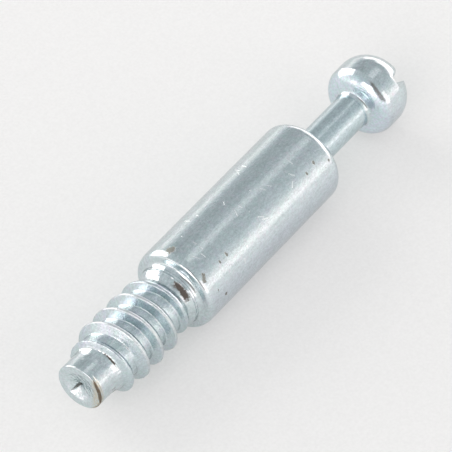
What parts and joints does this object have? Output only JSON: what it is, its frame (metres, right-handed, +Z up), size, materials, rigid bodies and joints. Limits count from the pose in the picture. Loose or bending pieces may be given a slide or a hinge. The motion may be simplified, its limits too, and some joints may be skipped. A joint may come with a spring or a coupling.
{
  "type": "cam dowel",
  "caption": "Steel cam dowel: coarse wood thread with a dished tip, plain round barrel, thin neck and a slotted head that a cam lock grips.",
  "frame": {"origin": "on the pin's axis, in the plane where the plain collar meets the shoulder that stops against the panel", "axes": "+X along the pin's axis towards the slotted head, +Z up as the pin lies on its barrel"},
  "size_m": [0.0396, 0.007, 0.007],
  "materials": {
    "zinc_plated_steel": "bright zinc plating with a faint blue passivate, smooth on the barrel and neck, grainy in the thread's roots"
  },
  "bodies": {
    "root": {"cam_dowel": "zinc_plated_steel"}
  },
  "joints": []
}
